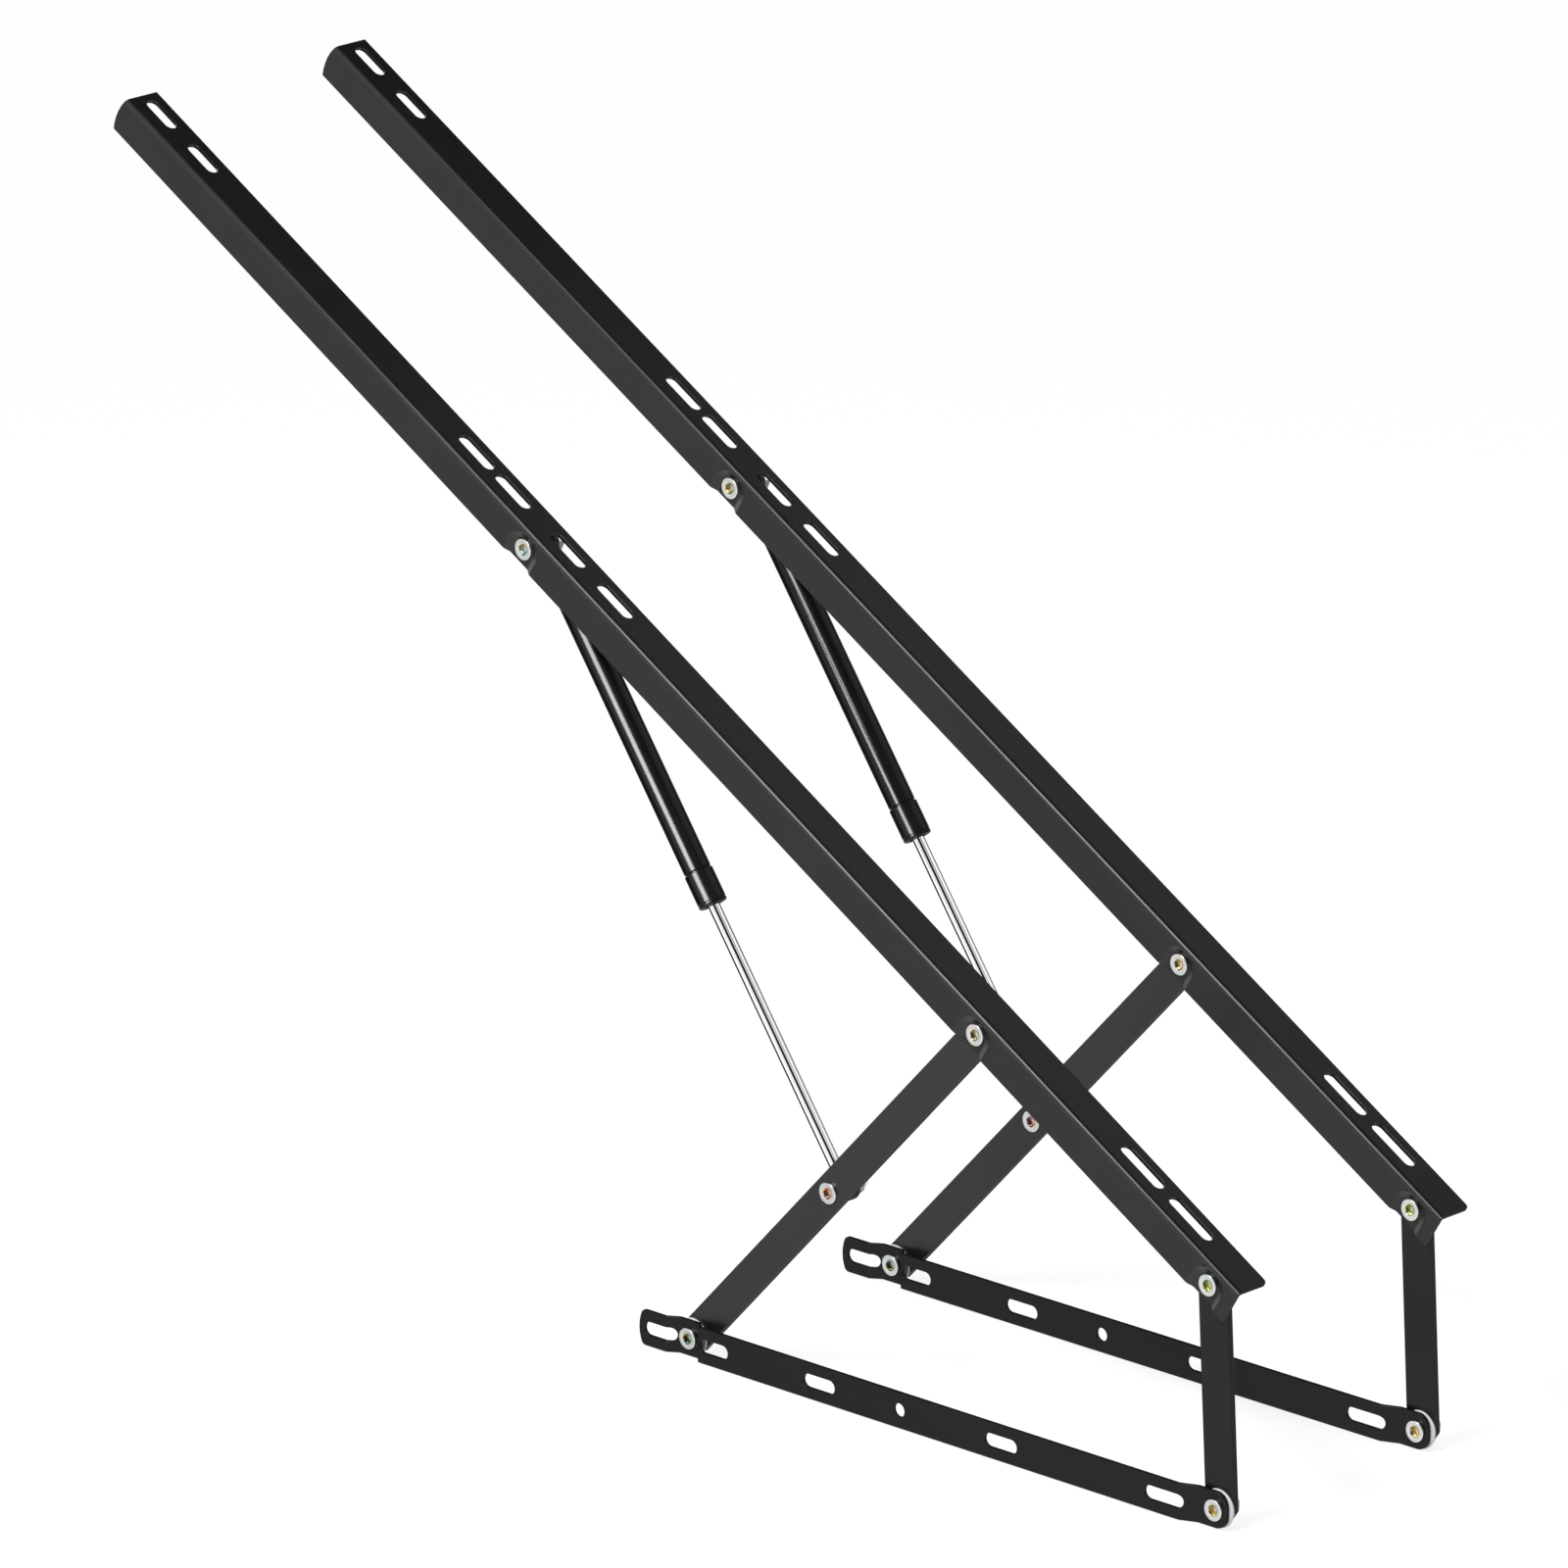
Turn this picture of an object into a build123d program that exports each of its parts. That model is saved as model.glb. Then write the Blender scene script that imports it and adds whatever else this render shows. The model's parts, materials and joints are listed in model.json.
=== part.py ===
# Lift mechanism of a gas-assisted wall bed: two like linkages that stand side by side, fully raised.
# Millimetres, +Z up. Each unit folds in the XZ plane, and depth runs along +Y, away from the bed's side.
# The origin is the round fixing hole of the front base plate, on the face that lies against the bed's side.
from build123d import *
from math import atan2, cos, degrees, hypot, radians, sin, tan
import os

os.makedirs("parts", exist_ok=True)

# The pair
unit_spacing = 189.0

# Linkage in the raised pose: pivot distances, and each link's angle above +X
base_pivots = 445.0
long_link_length = 356.5
long_link_angle = 46.75
short_link_length = 144.0
short_link_angle = 93.13
rail_pin_distance = 452.0
link_pin_distance = 171.5

# Base plate: a strip with two pressed pads, which set the pivots back from the mounting face
base_sheet = 2.5
base_width = 24.0
pad_rise = 5.0
base_bend = 3.0
tab_length = 39.0
tab_bulge = 3.0
tab_corner = 4.0
pad_end = 9.8
pad_end_corner = 9.0
long_pad_start = 15.5
long_pad_flat = 8.0
long_pad_wall = 12.5
short_pad_start = 25.5
short_pad_flat = 13.5

# Base plate fixings, measured from the pivot beside them
base_slot_width = 9.0
tab_slot_centre = -21.7
tab_slot_length = 25.0
foot_slot_centre = 26.0
foot_slot_length = 25.0
inner_slot_centre = 117.6
inner_slot_length = 27.0
base_hole_centre = 186.3
base_hole = 9.0
outer_slot_centre = -172.8
outer_slot_length = 27.0
end_slot_centre = -37.75
end_slot_length = 31.0

# Flat links
link_width = 23.0
link_thickness = 5.0
foot_overhang = 11.5
foot_clip_along = 10.0
foot_clip_across = 8.0

# Lift rail: an angle section whose side flange is pressed in behind each bolt head
rail_sheet = 2.5
rail_bend = 3.5
rail_drop = 10.4
rail_ridge = 14.8
rail_top_width = 26.8
rail_upper_reach = 424.0
rail_lower_reach = 22.0
rail_end_bulge = 2.5
rail_end_corner = 4.0
rail_tip_corner = 2.0

# Rail recesses: half width and height above the pivot at the mouth, and each wall's angle from the depth axis
recess_depth = 2.5
recess_mouth = 13.0
recess_slope = 60.0
recess_crown = 11.0
recess_crown_slope = 50.0

# Rail slots, measured from the rail's upper end, from the gas spring's pin or from the lower pivot
rail_slot_width = 8.8
rail_slot_setback = 15.4
upper_slot_length = 27.0
upper_slots = (21.6, 65.4)
middle_slot_length = 32.0
middle_slots = (-72.3, -34.9, 21.4, 69.4)
lower_slot_length = 38.0
lower_slots = (-85.8, -39.4)

# Bolts, nuts, washers and spacers
bolt = 8.0
bolt_head = 14.0
bolt_head_height = 2.0
socket_width = 6.0
socket_depth = 3.0
nut_width = 13.0
nut_height = 6.2
nut_collar = 11.4
nut_collar_height = 1.8
thread_end = 1.0
pin_tail = 5.0
foot_washer = 25.0
foot_washer_thickness = 1.9
top_washer = 16.0
top_washer_thickness = 0.4
spacer = 14.0

# Gas spring, measured along its axis from the rail pin
spring_axis_back = 10.1
tube = 18.0
tube_wall = 1.2
tube_start = 20.0
tube_end = 250.0
tube_shoulder = 3.0
cap = 19.0
cap_start = 231.0
cap_end = 254.0
cap_edge = 1.2
rod = 8.0
rod_stub = 6.0
guide_length = 14.0
piston_length = 9.0
piston_stroke_left = 5.0
rod_tail = 3.0
eye = 18.0
eye_width = 9.0
eye_neck = 8.8
rod_neck_reach = 15.0
stub_length = 7.0

# Clearances
running_gap = 0.1
thread_gap = 0.05
seal_gap = 0.1

# Pivots of the raised pose, as (x, z)
long_foot = (-base_hole_centre, 0)
short_foot = (long_foot[0] + base_pivots, 0)


def step(start, angle, distance):
    """Return the point that lies a distance from the start, at an angle above +X."""
    return (start[0] + distance * cos(radians(angle)), start[1] + distance * sin(radians(angle)))


long_top = step(long_foot, long_link_angle, long_link_length)
short_top = step(short_foot, short_link_angle, short_link_length)
rail_run = (short_top[0] - long_top[0], short_top[1] - long_top[1])
rail_angle = degrees(atan2(rail_run[1], rail_run[0]))
rail_pivots = hypot(*rail_run)
cylinder_pivot = step(long_top, rail_angle, -rail_pin_distance)
rod_pivot = step(long_foot, long_link_angle, link_pin_distance)
spring_run = (rod_pivot[0] - cylinder_pivot[0], rod_pivot[1] - cylinder_pivot[1])
spring_angle = degrees(atan2(spring_run[1], spring_run[0]))
spring_length = hypot(*spring_run)

# Depths, from the mounting face backwards
pad_front = pad_rise
pad_back = pad_front + base_sheet
link_front = pad_back + foot_washer_thickness + running_gap
link_back = link_front + link_thickness
floor_back = link_front - running_gap - top_washer_thickness
floor_front = floor_back - rail_sheet
rail_front = floor_front - recess_depth
rail_back = rail_front + rail_sheet
spring_axis = link_back + spring_axis_back
eye_front = spring_axis - eye_width / 2
eye_back = spring_axis + eye_width / 2
nut_length = nut_height + nut_collar_height


def facing(depth, at=(0, 0), angle=0):
    """Return a plane at one depth, seen from the front, with x along a link or rail."""
    along = (cos(radians(angle)), 0, sin(radians(angle)))
    return Plane(origin=(at[0], depth, at[1]), x_dir=along, z_dir=(0, -1, 0))


def write_pair(piece, name):
    """Write one piece twice, once for each unit of the pair."""
    for unit, depth in (("front", 0), ("rear", unit_spacing)):
        placed = piece.part.moved(Location((0, depth, 0)))
        placed.label = f"{unit}_{name}"
        export_step(placed, f"parts/{unit}_{name}.step")


# Base plate: the bent strip, trimmed to its outline, then pierced
plate_left = long_foot[0] - tab_length
plate_right = short_foot[0] + pad_end
with BuildPart() as base_plate:
    with BuildSketch(Plane.XY.offset(-base_width / 2)):
        with BuildLine():
            FilletPolyline(
                (plate_left, 0),
                (long_foot[0] - long_pad_start, 0),
                (long_foot[0] - long_pad_flat, pad_front),
                (long_foot[0] + long_pad_flat, pad_front),
                (long_foot[0] + long_pad_wall, 0),
                (short_foot[0] - short_pad_start, 0),
                (short_foot[0] - short_pad_flat, pad_front),
                (plate_right, pad_front),
                radius=base_bend,
            )
            offset(amount=base_sheet, side=Side.LEFT)
        make_face()
    extrude(amount=base_width)
    with BuildSketch(facing(0)) as plate_outline:
        with BuildLine():
            tab_line = plate_left + tab_bulge
            Polyline(
                (tab_line, -base_width / 2),
                (plate_right, -base_width / 2),
                (plate_right, base_width / 2),
                (tab_line, base_width / 2),
            )
            ThreePointArc((tab_line, base_width / 2), (plate_left, 0), (tab_line, -base_width / 2))
        make_face()
        fillet(plate_outline.vertices().group_by(Axis.X)[0], tab_corner)
        fillet(plate_outline.vertices().group_by(Axis.X)[-1], pad_end_corner)
    extrude(amount=-pad_back, mode=Mode.INTERSECT)
    with BuildSketch(facing(0, long_foot)):
        with Locations((tab_slot_centre, 0)):
            SlotOverall(tab_slot_length, base_slot_width)
        with Locations((foot_slot_centre, 0)):
            SlotOverall(foot_slot_length, base_slot_width)
        with Locations((inner_slot_centre, 0)):
            SlotOverall(inner_slot_length, base_slot_width)
        with Locations((base_hole_centre, 0)):
            Circle(base_hole / 2)
        Circle(bolt / 2 + thread_gap)
    extrude(amount=-pad_back, mode=Mode.SUBTRACT)
    with BuildSketch(facing(0, short_foot)):
        with Locations((outer_slot_centre, 0)):
            SlotOverall(outer_slot_length, base_slot_width)
        with Locations((end_slot_centre, 0)):
            SlotOverall(end_slot_length, base_slot_width)
        Circle(bolt / 2 + thread_gap)
    extrude(amount=-pad_back, mode=Mode.SUBTRACT)
write_pair(base_plate, "base_plate")


def build_link(foot, angle, length, holes):
    """Build a flat link with clipped foot corners, a round top and a row of (distance, radius) holes."""
    half = link_width / 2
    with BuildPart() as link:
        with BuildSketch(facing(link_front, foot, angle)):
            with BuildLine():
                Polyline(
                    (length, half),
                    (foot_clip_along - foot_overhang, half),
                    (-foot_overhang, half - foot_clip_across),
                    (-foot_overhang, foot_clip_across - half),
                    (foot_clip_along - foot_overhang, -half),
                    (length, -half),
                )
                ThreePointArc((length, half), (length + half, 0), (length, -half))
            make_face()
            for distance, radius in holes:
                with Locations((distance, 0)):
                    Circle(radius, mode=Mode.SUBTRACT)
        extrude(amount=-link_thickness)
    return link


running_hole = bolt / 2 + running_gap
fixed_hole = bolt / 2 + thread_gap
long_holes = ((0, running_hole), (link_pin_distance, fixed_hole), (long_link_length, fixed_hole))
long_link = build_link(long_foot, long_link_angle, long_link_length, long_holes)
write_pair(long_link, "long_link")

short_holes = ((0, running_hole), (short_link_length, running_hole))
short_link = build_link(short_foot, short_link_angle, short_link_length, short_holes)
write_pair(short_link, "short_link")

# Lift rail, drawn along its own length with x = 0 at the long link's pivot
rail_upper = -rail_pin_distance - rail_upper_reach
rail_lower = rail_pivots + rail_lower_reach
rail_along = (cos(radians(rail_angle)), 0, sin(radians(rail_angle)))
rail_up = (-sin(radians(rail_angle)), 0, cos(radians(rail_angle)))
upper_end = step(long_top, rail_angle, rail_upper)
ridge_point = step(long_top, rail_angle + 90, rail_ridge)
rail_section = Plane(origin=(upper_end[0], 0, upper_end[1]), x_dir=(0, 1, 0), z_dir=rail_along)
rail_crown = Plane(origin=(ridge_point[0], 0, ridge_point[1]), x_dir=rail_along, z_dir=rail_up)
rail_far = rail_front + rail_top_width
slot_depth = rail_front + rail_slot_setback
recess_drop = rail_drop + rail_sheet
recess_run = recess_depth * tan(radians(recess_slope))
crown_run = recess_depth * tan(radians(recess_crown_slope))
recess_wall = rail_sheet / cos(radians(recess_slope))
crown_wall = rail_sheet / cos(radians(recess_crown_slope))
mouth_sizes = (recess_mouth, recess_crown)
floor_sizes = (recess_mouth - recess_run, recess_crown - crown_run)
back_sizes = (floor_sizes[0] + recess_wall, floor_sizes[1] + crown_wall)
back_floor_sizes = (back_sizes[0] - recess_run, back_sizes[1] - crown_run)
rail_slots = [(rail_upper + place, upper_slot_length) for place in upper_slots]
rail_slots += [(place - rail_pin_distance, middle_slot_length) for place in middle_slots]
rail_slots += [(rail_pivots + place, lower_slot_length) for place in lower_slots]


def recess_outline(depth, pivot, sizes):
    """Draw a recess at one depth: half an ellipse above the pivot, and open below the rail's lower edge."""
    with BuildSketch(facing(depth, pivot, rail_angle)) as outline:
        Ellipse(*sizes)
        Rectangle(2 * sizes[0], recess_drop, align=(Align.CENTER, Align.MAX))
    return outline.sketch


with BuildPart() as lift_rail:
    with BuildSketch(rail_section):
        with BuildLine():
            FilletPolyline(
                (rail_front, -rail_drop),
                (rail_front, rail_ridge),
                (rail_far, rail_ridge),
                radius=rail_bend,
            )
            offset(amount=rail_sheet, side=Side.RIGHT)
        make_face()
    extrude(amount=rail_lower - rail_upper)
    for place in (-rail_pin_distance, 0, rail_pivots):
        pivot = step(long_top, rail_angle, place)
        back_mouth = recess_outline(rail_back, pivot, back_sizes)
        back_floor = recess_outline(floor_back, pivot, back_floor_sizes)
        loft([back_mouth.face(), back_floor.face()], ruled=True)
    with BuildSketch(facing(rail_front, long_top, rail_angle)) as rail_side:
        with BuildLine():
            side_line = rail_upper + rail_end_bulge
            Polyline(
                (side_line, -rail_drop),
                (rail_lower, -rail_drop),
                (rail_lower, rail_ridge),
                (side_line, rail_ridge),
            )
            side_middle = (rail_ridge - rail_drop) / 2
            ThreePointArc((side_line, rail_ridge), (rail_upper, side_middle), (side_line, -rail_drop))
        make_face()
    extrude(amount=-rail_top_width, mode=Mode.INTERSECT)
    for place in (-rail_pin_distance, 0, rail_pivots):
        pivot = step(long_top, rail_angle, place)
        mouth = recess_outline(rail_front, pivot, mouth_sizes)
        floor = recess_outline(floor_front, pivot, floor_sizes)
        loft([mouth.face(), floor.face()], ruled=True, mode=Mode.SUBTRACT)
        with BuildSketch(facing(floor_front, pivot, rail_angle)):
            Circle(fixed_hole)
        extrude(amount=-rail_sheet, mode=Mode.SUBTRACT)
    with BuildSketch(rail_crown):
        for place, length in rail_slots:
            with Locations((place, slot_depth)):
                SlotOverall(length, rail_slot_width)
    extrude(amount=-rail_sheet, mode=Mode.SUBTRACT)
    crown_corners = lift_rail.edges().filter_by(Axis((0, 0, 0), rail_up)).group_by(Axis.Y)[-1]
    chamfer(crown_corners.sort_by(Axis.X)[-1], rail_tip_corner)
    crown_corners = lift_rail.edges().filter_by(Axis((0, 0, 0), rail_up)).group_by(Axis.Y)[-1]
    fillet(crown_corners.sort_by(Axis.X)[0], rail_end_corner)
write_pair(lift_rail, "lift_rail")


def build_bolt(at, seat, tip):
    """Build a low-head bolt whose head lies in front of its seat and whose shank ends at the tip."""
    with BuildPart() as built_bolt:
        with BuildSketch(facing(seat - bolt_head_height, at)):
            Circle(bolt_head / 2)
        extrude(amount=-bolt_head_height)
        with BuildSketch(facing(seat, at)):
            Circle(bolt / 2)
        extrude(amount=seat - tip)
        with BuildSketch(facing(seat - bolt_head_height, at)):
            RegularPolygon(socket_width / 2, 6, major_radius=False)
        extrude(amount=-socket_depth, mode=Mode.SUBTRACT)
    return built_bolt


def build_ring(at, front, back, radius):
    """Build a washer or spacer between two depths."""
    with BuildPart() as ring:
        with BuildSketch(facing(front, at)):
            Circle(radius)
            Circle(fixed_hole, mode=Mode.SUBTRACT)
        extrude(amount=front - back)
    return ring


def build_nut(at, front):
    """Build a lock nut: a hexagon with the round collar that holds its nylon ring."""
    with BuildPart() as nut:
        with BuildSketch(facing(front, at)):
            RegularPolygon(nut_width / 2, 6, major_radius=False)
        extrude(amount=-nut_height)
        with BuildSketch(facing(front + nut_height, at)):
            Circle(nut_collar / 2)
        extrude(amount=-nut_collar_height)
        with BuildSketch(facing(front, at)):
            Circle(fixed_hole)
        extrude(amount=-nut_length, mode=Mode.SUBTRACT)
    return nut


def build_tailed_nut(at, start, front, tip):
    """Build a lock nut together with the far half of its bolt, which starts in front of the nut."""
    with BuildPart() as tailed_nut:
        with BuildSketch(facing(start, at)):
            Circle(bolt / 2)
        extrude(amount=start - tip)
        add(build_nut(at, front).part)
    return tailed_nut


# Foot pivots: bolt and nut stay with the base plate, and the link turns between the washer and the nut
washer_back = link_front - running_gap
foot_nut_front = link_back + running_gap
foot_tip = foot_nut_front + nut_length + thread_end
for name, pivot in (("long_foot", long_foot), ("short_foot", short_foot)):
    write_pair(build_bolt(pivot, pad_front, foot_tip), f"{name}_bolt")
    write_pair(build_ring(pivot, pad_back, washer_back, foot_washer / 2), f"{name}_washer")
    write_pair(build_nut(pivot, foot_nut_front), f"{name}_nut")

# Short link's top pivot: bolt, washer and nut stay with the rail
write_pair(build_bolt(short_top, floor_front, foot_tip), "short_top_bolt")
write_pair(build_ring(short_top, floor_back, washer_back, top_washer / 2), "short_top_washer")
write_pair(build_nut(short_top, foot_nut_front), "short_top_nut")

# Long link's top pivot: the bolt is parted in front of the link, and its far half stays with the link
write_pair(build_bolt(long_top, floor_front, washer_back), "long_top_bolt")
write_pair(build_ring(long_top, floor_back, washer_back, top_washer / 2), "long_top_washer")
write_pair(build_tailed_nut(long_top, link_front, foot_nut_front, foot_tip), "long_top_nut")

# Gas spring's upper pin: bolt, spacer and nut stay with the rail, and the eye turns between them
spacer_back = eye_front - running_gap
pin_nut_front = eye_back + running_gap
pin_tip = pin_nut_front + nut_length + pin_tail
write_pair(build_bolt(cylinder_pivot, floor_front, pin_tip), "cylinder_pin")
write_pair(build_ring(cylinder_pivot, floor_back, spacer_back, spacer / 2), "cylinder_spacer")
write_pair(build_nut(cylinder_pivot, pin_nut_front), "cylinder_nut")

# Gas spring's lower pin: parted in front of the eye, and its far half stays with the rod
write_pair(build_bolt(rod_pivot, link_front, spacer_back), "rod_pin")
write_pair(build_ring(rod_pivot, link_back, spacer_back, spacer / 2), "rod_spacer")
write_pair(build_tailed_nut(rod_pivot, eye_front, pin_nut_front, pin_tip), "rod_nut")

# Gas spring, turned about its own axis: x runs from the rail pin to the rod's pin
spring_plane = facing(spring_axis, cylinder_pivot, spring_angle)
spring_line = Axis(spring_plane.origin, spring_plane.x_dir)
tube_radius = tube / 2
bore_radius = tube_radius - tube_wall
rod_radius = rod / 2
rod_hole = rod_radius + seal_gap
stub_radius = rod_stub / 2
stub_hole = stub_radius + thread_gap
guide_start = tube_end - guide_length
piston_end = guide_start - piston_stroke_left
piston_start = piston_end - piston_length
rod_start = piston_start - rod_tail
rod_end = spring_length - rod_neck_reach
rod_tip = rod_end + stub_length


def turn_profile(points):
    """Turn a closed profile of (along, radius) points about the gas spring's axis."""
    with BuildPart() as turned:
        with BuildSketch(spring_plane):
            with BuildLine():
                Polyline(*points, close=True)
            make_face()
        revolve(axis=spring_line)
    return turned


with BuildPart() as gas_cylinder:
    with BuildSketch(spring_plane):
        with BuildLine():
            shoulder = tube_start + tube_shoulder
            Polyline(
                (shoulder, tube_radius),
                (tube_end, tube_radius),
                (tube_end, bore_radius),
                (shoulder, bore_radius),
                (shoulder, 0),
                (tube_start - stub_length, 0),
                (tube_start - stub_length, stub_radius),
                (tube_start, stub_radius),
                (tube_start, tube_radius - tube_shoulder),
            )
            RadiusArc((tube_start, tube_radius - tube_shoulder), (shoulder, tube_radius), -tube_shoulder)
        make_face()
    revolve(axis=spring_line)
write_pair(gas_cylinder, "gas_cylinder")

with BuildPart() as gas_end_cap:
    with BuildSketch(spring_plane):
        with BuildLine():
            Polyline(
                (cap_start, tube_radius + thread_gap),
                (cap_start, cap / 2),
                (cap_end - cap_edge, cap / 2),
                (cap_end, cap / 2 - cap_edge),
                (cap_end, rod_hole),
                (tube_end + thread_gap, rod_hole),
                (tube_end + thread_gap, tube_radius + thread_gap),
                close=True,
            )
        make_face()
    revolve(axis=spring_line)
write_pair(gas_end_cap, "gas_end_cap")

guide_profile = (
    (guide_start, rod_hole),
    (guide_start, bore_radius - thread_gap),
    (tube_end, bore_radius - thread_gap),
    (tube_end, rod_hole),
)
write_pair(turn_profile(guide_profile), "gas_guide")

piston_profile = (
    (piston_start, rod_radius + thread_gap),
    (piston_start, bore_radius - seal_gap),
    (piston_end, bore_radius - seal_gap),
    (piston_end, rod_radius + thread_gap),
)
write_pair(turn_profile(piston_profile), "gas_piston")

rod_profile = (
    (rod_start, 0),
    (rod_start, rod_radius),
    (rod_end, rod_radius),
    (rod_end, stub_radius),
    (rod_tip, stub_radius),
    (rod_tip, 0),
)
write_pair(turn_profile(rod_profile), "gas_rod")


def build_eye(pivot, reach, inwards):
    """Build a flat eye with a round neck that screws onto a stub, inwards being +1 or -1 along the spring."""
    with BuildPart() as end_eye:
        with BuildSketch(facing(eye_front, pivot)):
            Circle(eye / 2)
        extrude(amount=-eye_width)
        neck_plane = Plane(origin=(pivot[0], spring_axis, pivot[1]), z_dir=spring_plane.x_dir * inwards)
        with BuildSketch(neck_plane):
            Circle(eye_neck / 2)
        extrude(amount=reach)
        with BuildSketch(neck_plane.offset(reach)):
            Circle(stub_hole)
        extrude(amount=-stub_length, mode=Mode.SUBTRACT)
        with BuildSketch(facing(eye_front, pivot)):
            Circle(running_hole)
        extrude(amount=-eye_width, mode=Mode.SUBTRACT)
    return end_eye


write_pair(build_eye(cylinder_pivot, tube_start, 1), "cylinder_eye")
write_pair(build_eye(rod_pivot, rod_neck_reach, -1), "rod_eye")
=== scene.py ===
# Looks of a gas-assisted wall bed lift: two like linkages in black powder coat, zinc plate and chrome.
import json
from math import cos, pi, radians, sin, tan

import bmesh
import bpy
import numpy as np
from mathutils import Matrix, Vector
from mathutils.geometry import intersect_point_line

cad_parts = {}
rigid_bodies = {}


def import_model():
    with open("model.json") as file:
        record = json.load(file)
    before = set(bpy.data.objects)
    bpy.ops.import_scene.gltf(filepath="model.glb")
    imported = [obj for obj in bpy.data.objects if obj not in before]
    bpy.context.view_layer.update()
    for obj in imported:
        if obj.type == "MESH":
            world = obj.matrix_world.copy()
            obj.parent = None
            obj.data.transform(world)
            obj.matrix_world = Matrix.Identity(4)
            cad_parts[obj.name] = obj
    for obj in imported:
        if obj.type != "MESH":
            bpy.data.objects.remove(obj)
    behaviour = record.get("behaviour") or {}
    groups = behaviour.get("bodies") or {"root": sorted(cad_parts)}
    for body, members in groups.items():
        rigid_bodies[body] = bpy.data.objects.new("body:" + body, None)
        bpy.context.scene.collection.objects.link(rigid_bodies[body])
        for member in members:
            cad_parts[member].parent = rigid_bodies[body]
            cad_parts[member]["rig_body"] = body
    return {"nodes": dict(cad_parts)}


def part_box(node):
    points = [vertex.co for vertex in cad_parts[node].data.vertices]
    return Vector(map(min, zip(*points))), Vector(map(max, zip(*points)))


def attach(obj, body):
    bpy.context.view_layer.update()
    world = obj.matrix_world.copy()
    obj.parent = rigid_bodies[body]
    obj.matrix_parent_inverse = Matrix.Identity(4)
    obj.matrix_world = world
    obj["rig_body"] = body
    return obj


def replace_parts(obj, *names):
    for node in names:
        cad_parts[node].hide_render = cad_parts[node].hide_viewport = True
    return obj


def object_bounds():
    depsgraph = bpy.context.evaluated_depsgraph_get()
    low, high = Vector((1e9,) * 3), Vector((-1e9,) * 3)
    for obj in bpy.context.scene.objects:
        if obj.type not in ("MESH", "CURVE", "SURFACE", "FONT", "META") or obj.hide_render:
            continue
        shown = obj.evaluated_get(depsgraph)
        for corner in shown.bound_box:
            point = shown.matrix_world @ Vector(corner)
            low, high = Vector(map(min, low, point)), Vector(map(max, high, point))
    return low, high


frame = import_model()
cad_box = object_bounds()


# Camera
# It looks down at the photograph's angle from eight metres away through a long lens, because the two units
# of the photograph are the same picture twice, and only a far camera gives both one size.
mm = 0.001
view_turn = radians(43.35)
view_rise = radians(17.6)
view_distance = 8.0
view_lens = 293.6
view_sensor = 36.0
view_end = 100
view_centre = Vector((-0.0663, 0.080, 0.280))
view_left = 78.4 * mm
view_up = 92.9 * mm

right = Vector((cos(view_turn), sin(view_turn), 0))
back = Vector((sin(view_turn) * cos(view_rise), -cos(view_turn) * cos(view_rise), sin(view_rise)))
up = back.cross(right)
camera_data = bpy.data.cameras.new("camera")
camera_data.lens = view_lens
camera_data.sensor_width = view_sensor
camera_data.clip_end = view_end
camera = bpy.data.objects.new("camera", camera_data)
camera.location = view_centre - view_left * right + view_up * up + view_distance * back
camera.rotation_euler = Matrix((right, up, back)).transposed().to_euler()
bpy.context.scene.collection.objects.link(camera)
bpy.context.scene.camera = camera
bpy.context.scene.view_settings.view_transform = "Standard"


# Shader arithmetic
# A material is written as an expression: Value wraps one output of a node, and each operator on it adds
# the Math node that works it out. Shader.node makes every other node.
class Value:
    """One output of a node, on which arithmetic works."""

    def __init__(self, shader, socket):
        self.shader = shader
        self.socket = socket

    def maths(self, operation, *others):
        """Add a Math node that takes this value and the others, in order."""
        return self.shader.node("ShaderNodeMath", {"operation": operation}, dict(enumerate((self, *others))))

    def __add__(self, other):
        return self.maths("ADD", other)

    __radd__ = __add__

    def __sub__(self, other):
        return self.maths("SUBTRACT", other)

    def __rsub__(self, other):
        return self.shader.node("ShaderNodeMath", {"operation": "SUBTRACT"}, {0: other, 1: self})

    def __mul__(self, other):
        return self.maths("MULTIPLY", other)

    __rmul__ = __mul__

    def ease(self, low, high):
        """Rise smoothly from 0 at low to 1 at high."""
        limits = {"Value": self, "From Min": low, "From Max": high}
        return self.shader.node("ShaderNodeMapRange", {"interpolation_type": "SMOOTHSTEP"}, limits)

    def within(self, low, high, soft):
        """1 between low and high and 0 outside, with soft edges."""
        return self.ease(low - soft, low + soft) * (1 - self.ease(high - soft, high + soft))

    def towards(self, level, share):
        """Move to another level by a share."""
        return self + (level - self) * share


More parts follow.
